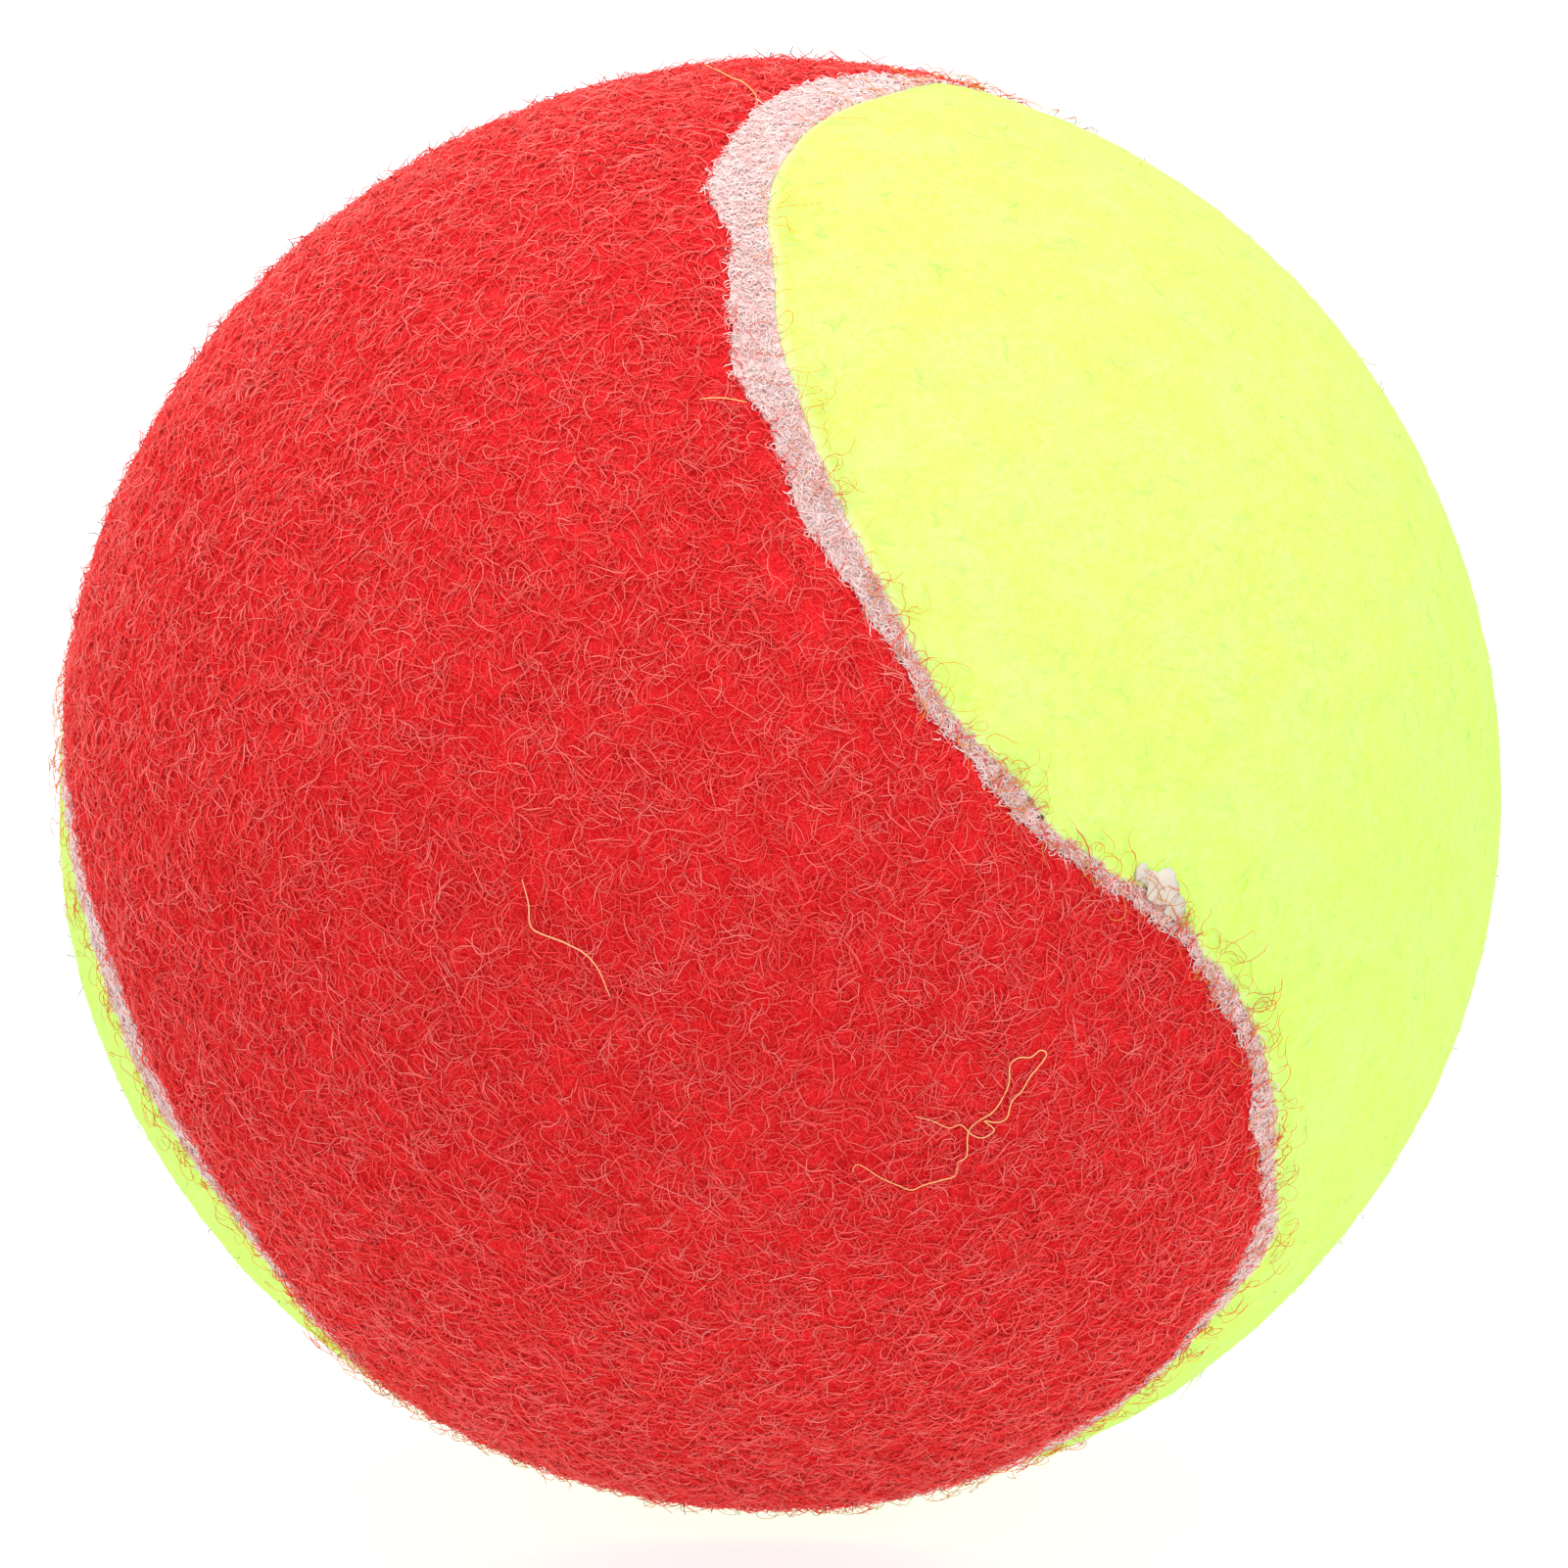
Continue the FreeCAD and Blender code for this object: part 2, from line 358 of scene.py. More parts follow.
def panel_cap(ball, side, edge):
    """An even sheet over one panel, out to the line that lies edge(turn) from the seam's middle.

    Returns its directions and triangles, and its border's points and turns, in order."""
    directions, triangles = ball[0].copy(), ball[1]
    turn, offset = seam_place(directions)
    inside = side * offset - edge(turn)
    longest = np.linalg.norm(directions[triangles[:, 0]] - directions[triangles[:, 1]], axis=1).max()
    inside[np.abs(inside) < 0.55 * longest * BALL_RADIUS] = 0
    kept = (inside[triangles] >= 0).all(axis=1) & (inside[triangles] > 0).any(axis=1)
    triangles = triangles[kept]

    edges = np.concatenate([triangles[:, [0, 1]], triangles[:, [1, 2]], triangles[:, [2, 0]]])
    count = len(directions)
    lone = ~np.isin(edges[:, 0] * np.int64(count) + edges[:, 1],
                    edges[:, 1] * np.int64(count) + edges[:, 0])
    following = dict(edges[lone].tolist())
    border = [min(following)]
    while following[border[-1]] != border[0]:
        border.append(following[border[-1]])
    if len(border) != lone.sum():
        raise ValueError("the border isn't one loop")
    border = np.array(border)

    # Even out the border's points along the line.
    turns = np.unwrap(turn[border])
    lap = 2 * math.pi * np.sign(turns[-1] - turns[0])
    for _ in range(4):
        before = np.concatenate([[turns[-1] - lap], turns[:-1]])
        after = np.concatenate([turns[1:], [turns[0] + lap]])
        turns = (before + 2 * turns + after) / 4
    directions[border] = beside_seam(turns, side * edge(turns))

    used, triangles = np.unique(triangles, return_inverse=True)
    return directions[used], triangles.reshape(-1, 3), np.searchsorted(used, border), turns


def strip(upper, lower):
    """Triangles between two closed rows of the same number of points."""
    u, l = np.asarray(upper), np.asarray(lower)
    v, m = np.roll(u, -1), np.roll(l, -1)
    return np.concatenate([np.stack([v, u, l], 1), np.stack([v, l, m], 1)])


def zipped(upper, upper_turns, lower, lower_turns):
    """Triangles between two closed rows that run the same way round the seam."""
    way = np.sign(upper_turns[-1] - upper_turns[0])

    def in_step(row, turns):
        """The row from the first place past turn 0 on, and how far round each of its points is."""
        around = np.mod(way * turns, 2 * math.pi)
        first = int(np.argmin(around))
        return np.roll(row, -first), np.append(np.roll(around, -first), 9 * math.pi)

    u, u_round = in_step(upper, upper_turns)
    l, l_round = in_step(lower, lower_turns)
    triangles = []
    i = j = 0
    while i < len(u) or j < len(l):
        here, there = u[i % len(u)], l[j % len(l)]
        if j >= len(l) or (i < len(u) and u_round[i + 1] < l_round[j + 1]):
            triangles.append((u[(i + 1) % len(u)], here, there))
            i += 1
        else:
            triangles.append((here, there, l[(j + 1) % len(l)]))
            j += 1
    return np.array(triangles)


def felt_mat(name, side, fine_ball, coarse_ball, material, slot):
    """One panel's felt as a closed mat: lumpy top, rounded rim, and a back on the base cloth."""
    lumpiness = LUMPINESS[side]

    def rim(turn):
        return bare_width(turn, side)

    top, triangles, border, turns = panel_cap(fine_ball, side, lambda turn: rim(turn) + SHOULDER)
    turn, offset = seam_place(top)
    inside = side * offset - rim(turn)
    points = [top * felt_radius(top, inside, lumpiness)[:, None]]
    insides = [inside]
    faces = [triangles]
    row = border
    total = len(top)

    steps = 7
    for angle in np.linspace(0, math.pi / 2, steps + 1)[1:]:
        inset = np.full(len(border), SHOULDER * (1 - math.sin(angle)))
        directions = beside_seam(turns, side * (rim(turns) + inset))
        points.append(directions * felt_radius(directions, inset, lumpiness)[:, None])
        insides.append(inset)
        following = total + np.arange(len(border))
        faces.append(strip(row, following))
        row = following
        total += len(border)

    foot = beside_seam(turns, side * rim(turns))
    for radius in (CLOTH_RADIUS + 0.7, CLOTH_RADIUS):
        points.append(foot * radius)
        insides.append(np.zeros(len(border)))
        following = total + np.arange(len(border))
        faces.append(strip(row, following))
        row = following
        total += len(border)

    back, back_triangles, back_border, back_turns = panel_cap(
        coarse_ball, side, lambda turn: rim(turn) + SHOULDER)
    points.append(back * CLOTH_RADIUS)
    insides.append(np.full(len(back), 9.0))
    faces.append(zipped(row, turns, total + back_border, back_turns))
    faces.append(total + back_triangles[:, ::-1])
    return new_piece(name, np.concatenate(points), np.concatenate(faces), material, slot,
                     inside=np.concatenate(insides))


def seam_band(material):
    """The white cement of both panels' edges, as one closed band round the ball."""
    columns = 1200
    across = 9
    turns = np.linspace(0, 2 * math.pi, columns, endpoint=False)
    red, yellow = bare_width(turns, RED) - 0.01, -bare_width(turns, YELLOW) + 0.01
    foot = np.full(columns, CAD_HALF_SEAM - 0.01)
    ledge = CLOTH_RADIUS + 0.01

    def top(share):
        """A row along the top of the cement. share runs from 0 to 1 across it."""
        directions = beside_seam(turns, yellow + share * (red - yellow))
        return directions * cement_radius(directions, np.full(columns, 2 * share - 1))[:, None]

    rows = [beside_seam(turns, -foot) * CORE_COAT_RADIUS, beside_seam(turns, -foot) * ledge,
            beside_seam(turns, yellow) * ledge]
    rows += [top(share) for share in np.linspace(0, 1, across)]
    rows += [beside_seam(turns, red) * ledge, beside_seam(turns, foot) * ledge,
             beside_seam(turns, foot) * CORE_COAT_RADIUS]
    index = np.arange(len(rows) * columns).reshape(len(rows), columns)
    faces = [strip(row, following) for row, following in zip(index, np.roll(index, -1, axis=0))]
    return new_piece("seam_cement_band", np.concatenate(rows), np.concatenate(faces)[:, ::-1],
                     material, "seam_cement")


# ---- Fibres ----------------------------------------------------------------------------------

def spread(rng, count):
    """Directions scattered evenly over the whole ball."""
    return unit(rng.normal(size=(count, 3)))


def any_heading(rng, places):
    """A random way over the surface at each place."""
    return unit(np.cross(places, rng.normal(size=places.shape)))


def walk(rng, places, headings, lengths, points, bend):
    """Paths over the ball, wandering from each place. bend is in radians per mm."""
    stride = lengths / (points - 1)
    turning = rng.normal(0, bend, len(places))
    path = [places]
    for _ in range(points - 1):
        angle = (turning * stride)[:, None]
        headings = headings * np.cos(angle) + np.cross(places, headings) * np.sin(angle)
        arc = (stride / BALL_RADIUS)[:, None]
        places, headings = (places * np.cos(arc) + headings * np.sin(arc),
                            headings * np.cos(arc) - places * np.sin(arc))
        turning = 0.75 * turning + rng.normal(0, 0.66 * bend, len(places))
        path.append(places)
    return np.stack(path, axis=1)


def eased(radii):
    """Radii along each path, smoothed so that a fibre bridges the seam's groove."""
    for _ in range(2):
        ends = np.concatenate([radii[:, :1], radii, radii[:, -1:]], axis=1)
        radii = (ends[:, :-2] + 2 * radii + ends[:, 2:]) / 4
    return radii


def tubes(paths, radii, widths):
    """Closed three-sided tubes along paths of directions, thinner at their ends.

    Returns their points, their triangles and the way each point faces.  That is turned outwards from
    the ball, as a fibre is clear enough to be nearly as light on its under side as on top."""
    count, length, _ = paths.shape
    centres = paths * radii[..., None]
    ahead = unit(np.gradient(centres, axis=1))
    up = unit(paths - ahead * dot(paths, ahead)[..., None])
    beside = np.cross(ahead, up)
    share = np.linspace(-1, 1, length)
    half = widths[:, None] / 2 * (1 - 0.45 * share ** 4)
    corners = np.stack([up * math.sin(angle) + beside * math.cos(angle)
                        for angle in np.radians([90, 210, 330])], axis=2)
    points = (centres[:, :, None] + half[..., None, None] * corners).reshape(-1, 3)
    normals = unit(corners + OUTWARDS * up[:, :, None]).reshape(-1, 3)

    pattern = []
    for ring in range(length - 1):
        for corner in range(3):
            a, b = 3 * ring + corner, 3 * ring + (corner + 1) % 3
            pattern += [(a, b + 3, b), (a, a + 3, b + 3)]
    last = 3 * (length - 1)
    pattern += [(0, 1, 2), (last, last + 2, last + 1)]
    starts = 3 * length * np.arange(count)[:, None, None]
    return points, (starts + np.array(pattern)).reshape(-1, 3), normals


def fibre_pieces(name, paths, radii, widths, shades, material, slot):
    """Fibres in as few pieces as keep each one light, each piece over its own part of the ball."""
    around = np.arctan2(*(paths[:, 0] @ LIE_MATRIX)[:, :2].T)
    parts = np.array_split(np.argsort(around), len(paths) // FIBRES_PER_PIECE + 1)
    pieces = []
    for number, part in enumerate(parts):
        points, triangles, normals = tubes(paths[part], radii[part], widths[part])
        # Each point's tone is scaled by the ridge factors: painted highlight on a fibre's top corner,
        # painted shade on its two lower corners.
        shade = np.outer(np.repeat(shades[part], paths.shape[1]), PAINTED_RIDGE_LIGHT).ravel()
        title = name if len(parts) == 1 else "%s_%d" % (name, number + 1)
        pieces.append(new_piece(title, points, triangles, material, slot, normals, shade=shade))
    return pieces


def felt_fibres(name, side, seed, material, slot):
    """The tangle of fibres on one panel."""
    rng = np.random.default_rng(seed)
    kinds = FIBRE_KINDS[side]
    ball_area = 4 * math.pi * BALL_RADIUS ** 2
    places = spread(rng, int(FIBRE_DENSITY[side] * ball_area))
    turn, offset = seam_place(places)
    places = places[side * offset > bare_width(turn, side) + 0.1]
    count = len(places)
    shares = np.array([kind[0] for kind in kinds])
    kind = rng.choice(len(kinds), count, p=shares / shares.sum())

    def between(column):
        low, high = np.array([row[column] for row in kinds])[kind].T
        return rng.uniform(low, high)

    lengths, widths, rises = between(1), between(2), between(4)
    bends = np.array([row[3] for row in kinds])[kind]
    free = rng.random(count) < np.array([row[5] for row in kinds])[kind]
    paths = walk(rng, places, any_heading(rng, places), lengths, FIBRE_POINTS, bends)
    radii, inside = ground(paths)
    radii = eased(radii)

    # A fibre that hangs far over the seam stays only now and then.
    kept = inside.min(axis=1) > -rng.exponential(OVERHANG[side], count)
    share = np.linspace(0, 1, FIBRE_POINTS)
    arch = np.where(free[:, None], share ** 1.3, np.sin(math.pi * share))
    if side == RED:
        rises = rises + 0.15 * np.exp(-np.maximum(inside[:, 0], 0) / 0.4)
    radii = radii - 0.05 + (rises[:, None] + 0.05) * arch
    # Fibres that rise higher are painted paler, as painted light on the raised fibres, added to a
    # random tone per fibre.
    shades = np.clip(rng.normal(0.45, 0.25, count) + 0.25 * (rises - 0.1), 0, 1)
    return fibre_pieces(name, paths[kept], radii[kept], widths[kept], shades[kept], material, slot)


def seam_fuzz(material):
    """Short white fibres that stand out of the cement and lie over the red rim."""
    rng = np.random.default_rng(301)
    count = FUZZ_COUNT
    turns = rng.uniform(0, 2 * math.pi, count)
    across = rng.random(count)
    red, yellow = bare_width(turns, RED), bare_width(turns, YELLOW)
    tufts = noise(seam_direction(turns) * BALL_RADIUS, 1.2, 31)
    spill = np.clip(0.22 + 0.40 * tufts, 0, 1) * rng.random(count) * (rng.random(count) < 0.4)
    offset = -yellow + across * (red + yellow) + spill
    places = beside_seam(turns, offset)
    lengths = rng.uniform(0.4, 1.1, count)
    paths = walk(rng, places, any_heading(rng, places), lengths, FUZZ_POINTS, 5.0)
    radii, _ = ground(paths)
    share = np.linspace(0, 1, FUZZ_POINTS)
    rises = rng.uniform(0.04, 0.28, count)
    radii = eased(radii) - 0.03 + rises[:, None] * np.sin(math.pi * (0.15 + 0.7 * share))
    _, ends = seam_place(paths[:, -1])
    kept = (ends > -yellow - 0.15) & (ends < red + rng.exponential(0.28, count))
    shades = rng.random(count)
    widths = rng.uniform(0.045, 0.070, count)
    return fibre_pieces("seam_fuzz", paths[kept], radii[kept], widths[kept], shades[kept],
                        material, "seam_cement")


def stray_hairs(material):
    """Long thin hairs, red to brown, that curl over the yellow edge."""
    rng = np.random.default_rng(302)
    turns = rng.uniform(0, 2 * math.pi, HAIR_COUNT)
    turns = turns[rng.random(HAIR_COUNT) > 0.8 * swell(turns, 50, 15)]
    count = len(turns)
    offset = -bare_width(turns, YELLOW) + rng.normal(-0.1, 0.35, count)
    places = beside_seam(turns, offset)
    lengths = rng.uniform(0.8, 3.2, count)
    paths = walk(rng, places, any_heading(rng, places), lengths, HAIR_POINTS, 2.2)
    radii, _ = ground(paths)
    share = np.linspace(0, 1, HAIR_POINTS)
    rises = rng.uniform(0.1, 0.6, count)
    radii = eased(eased(radii)) + 0.1 + rises[:, None] * np.sin(math.pi * (0.05 + 0.8 * share))
    return fibre_pieces("stray_hairs", paths, radii, rng.uniform(0.032, 0.046, count),
                        rng.random(count), material, "red_felt")


def smooth_course(course, steps):
    """Points along a smooth line through a course of points."""
    course = np.array(course, float)
    ends = np.concatenate([course[:1], course, course[-1:]])
    a, b, c, d = ends[:-3], ends[1:-2], ends[2:-1], ends[3:]
    share = (np.arange(steps) / steps)[:, None, None]
    line = (b + share * (c - a) / 2 + share ** 2 * (a - 2.5 * b + 2 * c - d / 2)
            + share ** 3 * (1.5 * (b - c) + (d - a) / 2))
    return np.concatenate([line.transpose(1, 0, 2).reshape(-1, 2), course[-1:]])


def loose_threads(material):
    """The few long light threads that lie on the red felt."""
    points, triangles, normals, shades = [], [], [], []
    total = 0
    for number, (azimuth, elevation, course) in enumerate(THREADS):
        middle = direction_at(azimuth, elevation)
        right = unit(np.cross((0, 0, 1), middle))
        up = np.cross(middle, right)
        line = smooth_course(course, 8) / BALL_RADIUS
        path = unit(middle + line[:, :1] * right + line[:, 1:] * up)[None]
        wander = 0.08 * noise(path * BALL_RADIUS, 1.5, 61)
        radii = eased(eased(ground(path)[0])) + THREAD_HEIGHT + wander
        tube, faces, facing = tubes(path, radii, np.array([THREAD_WIDTH]))
        points.append(tube)
        normals.append(facing)
        triangles.append(total + faces)
        shades.append(np.full(len(tube), number / len(THREADS)))
        total += len(tube)
    return new_piece("loose_threads", np.concatenate(points), np.concatenate(triangles), material,
                     "yellow_felt", np.concatenate(normals), shade=np.concatenate(shades))


def seam_crumbs(ball, material):
    """Flakes of cement and specks of dirt that are stuck beside the yellow rim."""
    directions, faces = ball
    points, triangles, shades = [], [], []
    for number, (azimuth, elevation, size, flat, shade) in enumerate(CRUMBS):
        middle = direction_at(azimuth, elevation)
        shape = directions * (1 + 0.40 * noise(directions * 2.4 + 7 * number, 1.0, 71)[:, None])
        shape = shape - (1 - flat) * dot(shape, middle)[:, None] * middle
        centre = middle * (ground(middle[None])[0] + 0.09 * size)
        points.append(centre + size / 2 * shape)
        triangles.append(faces + number * len(directions))
        shades.append(np.full(len(directions), shade))
    return new_piece("seam_crumbs", np.concatenate(points), np.concatenate(triangles), material,
                     "seam_cement", shade=np.concatenate(shades))


# ---- Materials -------------------------------------------------------------------------------

def new_material(name, roughness, sheen=0.0):
    """A material and its tree, with a plain shader ready."""
    material = bpy.data.materials.new(name)
    material.use_nodes = True
    shader = material.node_tree.nodes["Principled BSDF"]
    shader.inputs["Roughness"].default_value = roughness
    shader.inputs["Specular IOR Level"].default_value = 0.1
    shader.inputs["Sheen Weight"].default_value = sheen
    shader.inputs["Sheen Roughness"].default_value = 0.5
    return material, material.node_tree, shader


def link(tree, start, end):
    tree.links.new(start, end)


def grain(tree, size, detail=2.0, distortion=0.0):
    """Noise over the piece, with grains about size mm across."""
    place = tree.nodes.new("ShaderNodeTexCoord")
    texture = tree.nodes.new("ShaderNodeTexNoise")
    texture.inputs["Scale"].default_value = 1 / (size * MM)
    texture.inputs["Detail"].default_value = detail
    texture.inputs["Distortion"].default_value = distortion
    link(tree, place.outputs["Object"], texture.inputs["Vector"])
    return texture.outputs["Fac"]


def measure(tree, name):
    """One of the numbers that new_piece() kept at each point."""
    node = tree.nodes.new("ShaderNodeAttribute")
    node.attribute_name = name
    return node.outputs["Fac"]


def colours(tree, amount, stops):
    """Colours along a ramp: each stop is a place and a colour."""
    node = tree.nodes.new("ShaderNodeValToRGB")
    ramp = node.color_ramp
    while len(ramp.elements) < len(stops):
        ramp.elements.new(1)
    for element, (place, colour) in zip(ramp.elements, stops):
        element.position = place
        element.color = (*colour, 1)
    link(tree, amount, node.inputs["Fac"])
    return node.outputs["Color"]


def blend(tree, kind, amount, first, second):
    """Two colours mixed, added or multiplied. amount is a number or an output."""
    node = tree.nodes.new("ShaderNodeMix")
    node.data_type = "RGBA"
    node.blend_type = kind
    for value, entry in ((amount, node.inputs[0]), (first, node.inputs[6]), (second, node.inputs[7])):
        if isinstance(value, bpy.types.NodeSocket):
            link(tree, value, entry)
        elif isinstance(value, tuple):
            entry.default_value = (*value, 1)
        else:
            entry.default_value = value
    return node.outputs[2]


def bumped(tree, shader, height, distance):
    """Fine relief, distance mm deep."""
    bump = tree.nodes.new("ShaderNodeBump")
    bump.inputs["Strength"].default_value = 0.8
    bump.inputs["Distance"].default_value = distance * MM
    link(tree, height, bump.inputs["Height"])
    link(tree, bump.outputs["Normal"], shader.inputs["Normal"])


def by_shade(name, roughness, stops, sheen=0.0):
    """A material coloured along a ramp by each point's shade."""
    material, tree, shader = new_material(name, roughness, sheen)
    link(tree, colours(tree, measure(tree, "shade"), stops), shader.inputs["Base Color"])
    return material


def red_felt():
    material, tree, shader = new_material("red_felt", 0.95)
    tangle = grain(tree, 0.2, 3.0, 2.5)
    patches = grain(tree, 6.0, 2.0)
    # The mat is painted a darker red than the loose fibres over it, as painted shade of the pits
    # between them, with the felt's own fine grain and wide pale patches.
    base = colours(tree, tangle, [(0.35, (0.48, 0.004, 0.009)), (0.5, (0.72, 0.012, 0.018)),
                                  (0.65, (0.88, 0.045, 0.045))])
    tint = colours(tree, patches, [(0.35, (0.90, 0.86, 0.86)), (0.65, (1.0, 1.0, 1.0))])
    link(tree, blend(tree, "MULTIPLY", 1.0, base, tint), shader.inputs["Base Color"])
    bumped(tree, shader, tangle, 0.05)
    return material


def red_fibre():
    # The dark saturated red low on this ramp, taken by the fibres' sides, is painted shade; the pink
    # at its top, taken by the tops of the palest fibres, is a painted highlight; between them each
    # fibre's own tone differs at random.
    return by_shade("red_fibre", 0.85, [
        (0.0, (0.80, 0.004, 0.008)), (0.15, (0.87, 0.026, 0.027)),
        (0.45, (0.93, 0.100, 0.092)), (1.0, (0.99, 0.38, 0.34))])


def yellow_felt():
    material, tree, shader = new_material("yellow_felt", 0.95)
    tangle = grain(tree, 0.4, 3.0, 1.0)
    base = colours(tree, tangle, [(0.3, (0.61, 0.95, 0.15)), (0.5, (0.64, 0.98, 0.20)),
                                  (0.7, (0.66, 1.0, 0.24))])
    patches = colours(tree, grain(tree, 3.0, 2.0), [(0.4, (1.0, 1.0, 0.8)), (0.65, (1.0, 1.0, 1.0))])
    mixed = blend(tree, "MULTIPLY", 1.0, base, patches)
    # The yellow is painted paler and whiter within about half a mm of its rim, as a painted highlight
    # along the rim.
    rim = colours(tree, measure(tree, "inside"), [(0.0, (0.6, 0.6, 0.6)), (0.6, (0.0, 0.0, 0.0))])
    painted_rim_highlight = blend(tree, "MIX", rim, mixed, (0.86, 0.93, 0.55))
    link(tree, painted_rim_highlight, shader.inputs["Base Color"])
    bumped(tree, shader, tangle, 0.10)
    return material


def yellow_fibre():
    # The lower end of this ramp, taken by the fibres' sides, is painted shade, and the paler upper
    # end, taken by their tops, a painted highlight.
    return by_shade("yellow_fibre", 0.85, [
        (0.0, (0.68, 0.98, 0.21)), (0.4, (0.70, 1.0, 0.28)), (1.0, (0.73, 1.0, 0.38))])


def seam_white():
    material, tree, shader = new_material("seam_cement", 0.9, 0.1)
    tangle = grain(tree, 0.3, 3.0, 1.0)
    # The cement is painted darker pink in the low parts of its grain, as painted shade between the
    # fuzz, over its own pale pinkish white.
    base = colours(tree, tangle, [(0.35, (0.76, 0.38, 0.38)), (0.5, (0.84, 0.62, 0.60)),
                                  (0.65, (0.88, 0.73, 0.71))])
    link(tree, base, shader.inputs["Base Color"])
    bumped(tree, shader, tangle, 0.05)
    return material


def seam_fibre():
    # The pink low on this ramp, taken by the fibres' sides, is painted shade between the white
    # fibres; the near-white upper stops are their own colour.
    return by_shade("seam_fibre", 0.9, [
        (0.0, (0.93, 0.45, 0.43)), (0.25, (0.95, 0.68, 0.65)), (1.0, (0.97, 0.88, 0.85))], sheen=0.1)


def stray_hair():
    return by_shade("stray_hair", 0.8, [
        (0.0, (0.74, 0.06, 0.03)), (0.3, (0.80, 0.18, 0.04)), (0.65, (0.72, 0.38, 0.06)),
        (1.0, (0.40, 0.24, 0.07))])


def crumb():
    return by_shade("crumb", 0.8, [
        (0.0, (0.06, 0.03, 0.02)), (0.5, (0.25, 0.27, 0.25)), (1.0, (0.66, 0.61, 0.52))])


def light_thread():
    return by_shade("light_thread", 0.7, [
        (0.0, (0.95, 0.54, 0.26)), (0.3, (0.95, 0.54, 0.22)), (0.8, (0.95, 0.46, 0.15))])


def rubber():
    material, tree, shader = new_material("core_rubber", 0.75)
    specks = grain(tree, 0.8, 4.0)
    base = colours(tree, specks, [(0.3, (0.020, 0.019, 0.018)), (0.7, (0.045, 0.042, 0.040))])
    link(tree, base, shader.inputs["Base Color"])
    bumped(tree, shader, specks, 0.05)
    return material


def rubber_cement():
    material, tree, shader = new_material("core_cement", 0.45)
    brushed = grain(tree, 2.5, 5.0, 2.0)
    base = colours(tree, brushed, [(0.3, (0.40, 0.33, 0.18)), (0.7, (0.55, 0.47, 0.30))])
    link(tree, base, shader.inputs["Base Color"])
    bumped(tree, shader, brushed, 0.05)
    return material


def base_cloth(name, dark, light):
    """Plain weave: crossed waves of threads about 0.6 mm apart."""
    material, tree, shader = new_material(name, 0.9, 0.2)
    place = tree.nodes.new("ShaderNodeTexCoord")
    threads = []
    for direction in ("X", "Z"):
        wave = tree.nodes.new("ShaderNodeTexWave")
        wave.bands_direction = direction
        wave.inputs["Scale"].default_value = 520
        wave.inputs["Distortion"].default_value = 0.4
        link(tree, place.outputs["Object"], wave.inputs["Vector"])
        threads.append(wave.outputs["Fac"])
    woven = blend(tree, "MULTIPLY", 1.0, threads[0], threads[1])
    base = colours(tree, woven, [(0.0, dark), (0.6, light)])
    link(tree, base, shader.inputs["Base Color"])
    bumped(tree, shader, woven, 0.10)
    return material


def floor_material():
    """Pale table, lit up where it is seen, so that it runs into the backdrop without an edge."""
    material, tree, shader = new_material("floor", 0.9)
    shader.inputs["Base Color"].default_value = (0.35, 0.35, 0.35, 1)
    shader.inputs["Emission Color"].default_value = (1, 1, 1, 1)
    seen = tree.nodes.new("ShaderNodeLightPath").outputs["Is Camera Ray"]
    glow = tree.nodes.new("ShaderNodeMapRange")
    glow.inputs["To Min"].default_value = 0.76
    glow.inputs["To Max"].default_value = 0.80
    link(tree, seen, glow.inputs["Value"])
    link(tree, glow.outputs["Result"], shader.inputs["Emission Strength"])
    return material


# ---- The set ---------------------------------------------------------------------------------

def pale_floor():
    """A wide pale table under the ball."""
    half = 3.0
    mesh = bpy.data.meshes.new("floor")
    height = cad_box[0].z - 0.6 * MM
    mesh.from_pydata([(-half, -half, height), (half, -half, height), (half, half, height),
                      (-half, half, height)], [], [(0, 1, 2, 3)])
    mesh.materials.append(floor_material())
    floor = bpy.data.objects.new("floor", mesh)
    bpy.context.scene.collection.objects.link(floor)


def soft_light(name, place, size, power):
    """A square lamp that faces the ball."""
    light = bpy.data.lights.new(name, "AREA")
    light.size = size
    light.energy = power
    lamp = bpy.data.objects.new(name, light)
    lamp.location = place
    lamp.rotation_euler = (-Vector(place)).to_track_quat("-Z", "Y").to_euler()
    bpy.context.scene.collection.objects.link(lamp)


def studio():
    scene = bpy.context.scene
    scene.view_settings.view_transform = "Standard"
    world = bpy.data.worlds.new("studio")
    world.use_nodes = True
    # The backdrop is plain white where it is seen, and gives off less light than that.
    tree = world.node_tree
    seen = tree.nodes.new("ShaderNodeLightPath").outputs["Is Camera Ray"]
    strength = tree.nodes.new("ShaderNodeMapRange")
    strength.inputs["To Min"].default_value = 1.05
    strength.inputs["To Max"].default_value = 1.0
    link(tree, seen, strength.inputs["Value"])
    background = tree.nodes["Background"]
    background.inputs["Color"].default_value = (1, 1, 1, 1)
    link(tree, strength.outputs["Result"], background.inputs["Strength"])
    scene.world = world
    soft_light("key", (-0.10, -0.20, 0.84), 0.30, 3.4)
    soft_light("fill", (0.45, -0.65, 0.05), 0.5, 1.0)


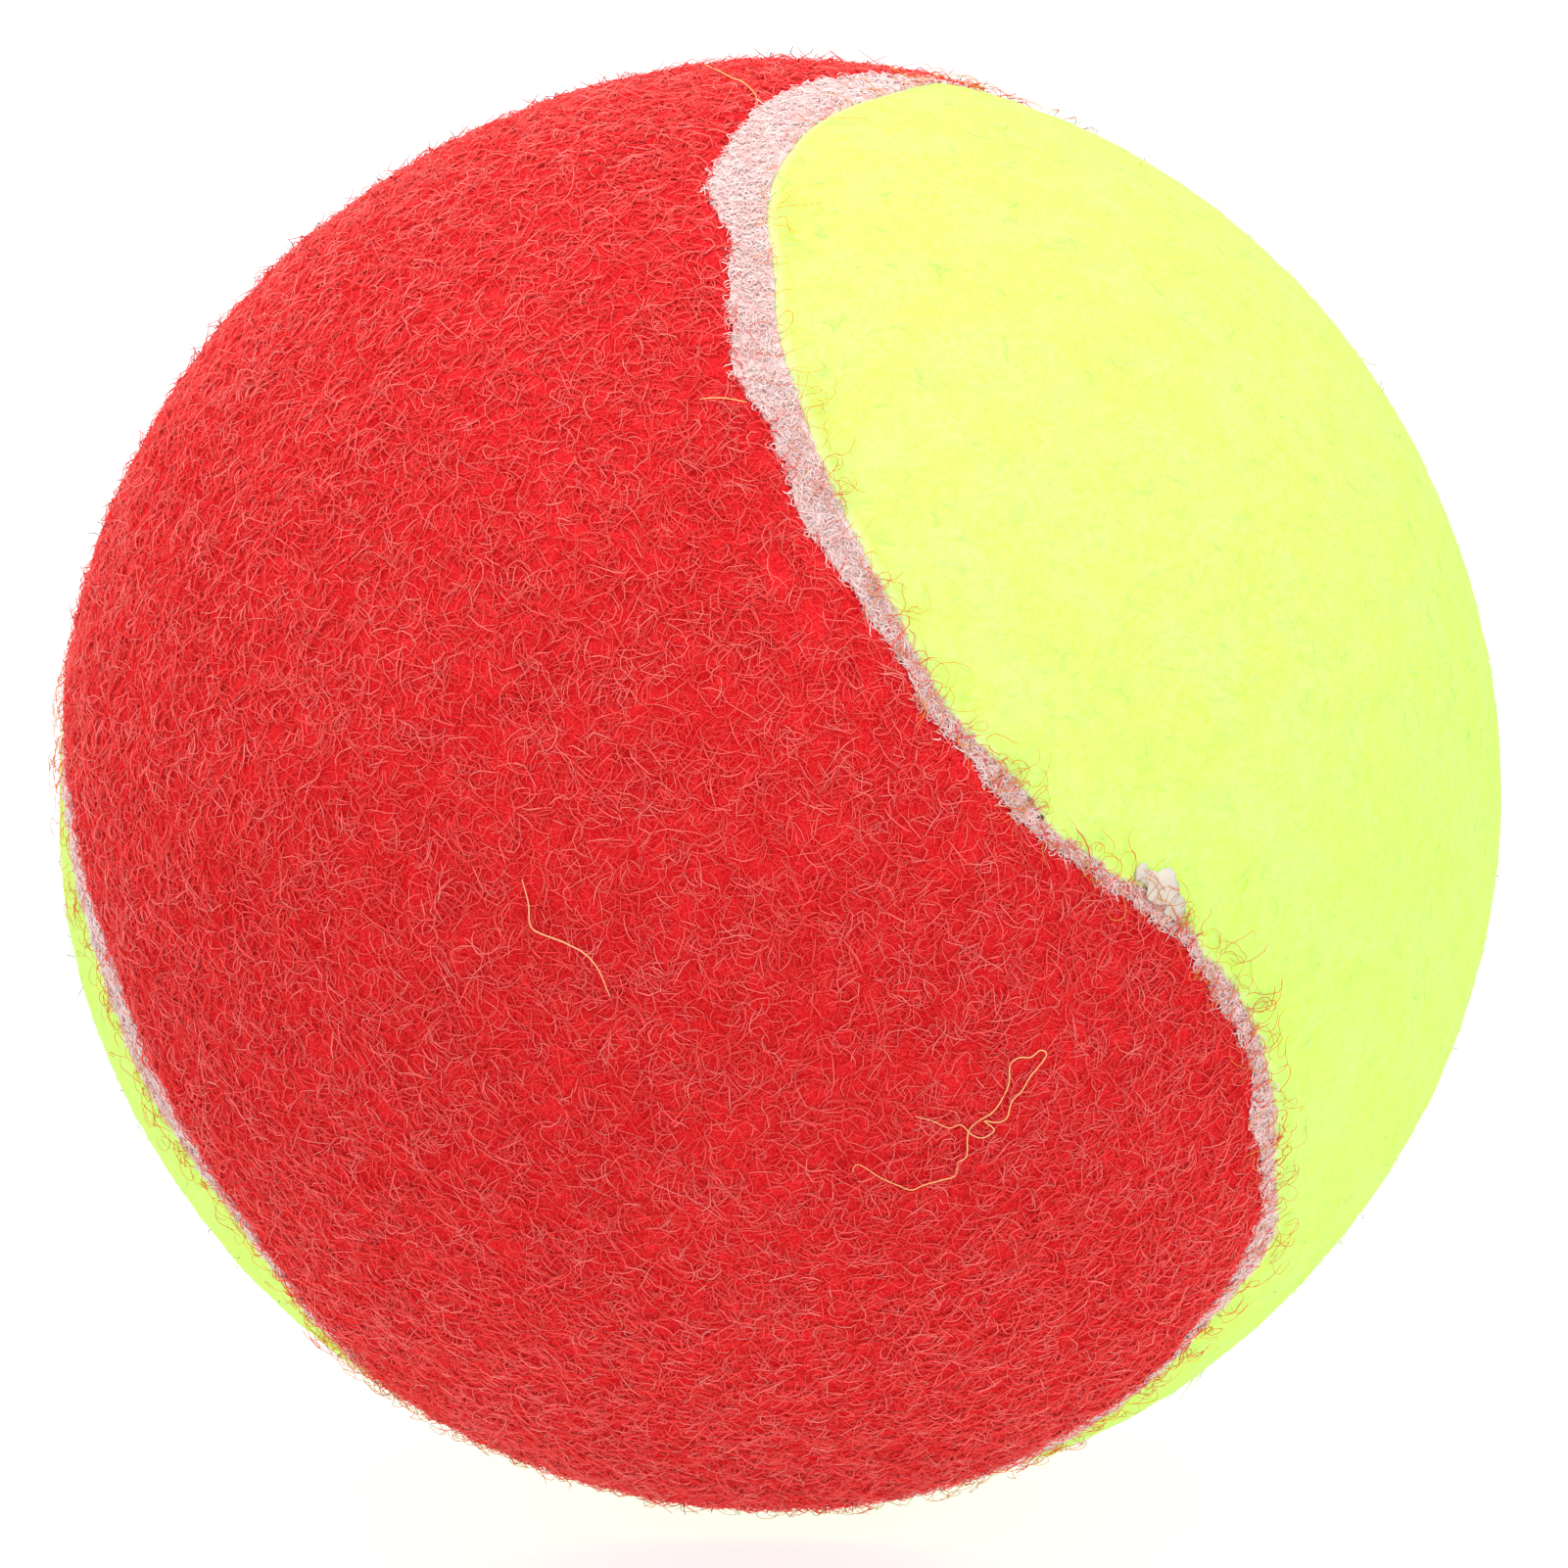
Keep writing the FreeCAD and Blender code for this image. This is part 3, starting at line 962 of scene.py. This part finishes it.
def camera():
    elevation = math.radians(CAMERA_ELEVATION)
    roll = math.radians(CAMERA_ROLL)
    data = bpy.data.cameras.new("camera")
    data.sensor_width = 36
    data.lens = CAMERA_LENS
    data.shift_x, data.shift_y = CAMERA_SHIFT
    data.clip_start = 0.01
    eye = bpy.data.objects.new("camera", data)
    eye.location = (0, -CAMERA_DISTANCE * math.cos(elevation), CAMERA_DISTANCE * math.sin(elevation))
    tilt = Euler((math.pi / 2 - elevation, 0, 0)).to_matrix()
    eye.rotation_euler = (tilt @ Euler((0, 0, roll)).to_matrix()).to_euler()
    bpy.context.scene.collection.objects.link(eye)
    bpy.context.scene.camera = eye


# ---- The whole ball --------------------------------------------------------------------------

def paint_cad_nodes():
    """The inner layers stay as the CAD made them, with materials of their own."""
    cement = rubber_cement()
    finishes = {
        "core_rubber": rubber(),
        "core_cement": cement,
        "red_base_cloth": base_cloth("red_base_cloth", (0.20, 0.008, 0.010), (0.55, 0.05, 0.05)),
        "yellow_base_cloth": base_cloth("yellow_base_cloth", (0.35, 0.42, 0.03), (0.68, 0.78, 0.12)),
    }
    for sub_part in frame["record"]["subparts"]:
        finish = finishes.get(sub_part["material_slot"])
        if finish:
            node = frame["nodes"][sub_part["node"]]
            for place in node.material_slots:
                place.material = finish


def build():
    camera()
    studio()
    pale_floor()
    paint_cad_nodes()
    fine_ball = even_ball(8)
    coarse_ball = even_ball(6)
    red_mat = felt_mat("red_felt_mat", RED, fine_ball, coarse_ball, red_felt(), "red_felt")
    yellow_mat = felt_mat("yellow_felt_mat", YELLOW, fine_ball, coarse_ball, yellow_felt(),
                          "yellow_felt")
    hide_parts("red_felt_pile")
    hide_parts("yellow_felt_pile")
    band = seam_band(seam_white())
    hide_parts("red_panel_edge_cement", "yellow_panel_edge_cement")
    red_tangle = felt_fibres("red_fibres", RED, 101, red_fibre(), "red_felt")
    yellow_tangle = felt_fibres("yellow_fibres", YELLOW, 202, yellow_fibre(), "yellow_felt")
    seam_fuzz(seam_fibre())
    stray_hairs(stray_hair())
    loose_threads(light_thread())
    seam_crumbs(even_ball(3), crumb())


build()
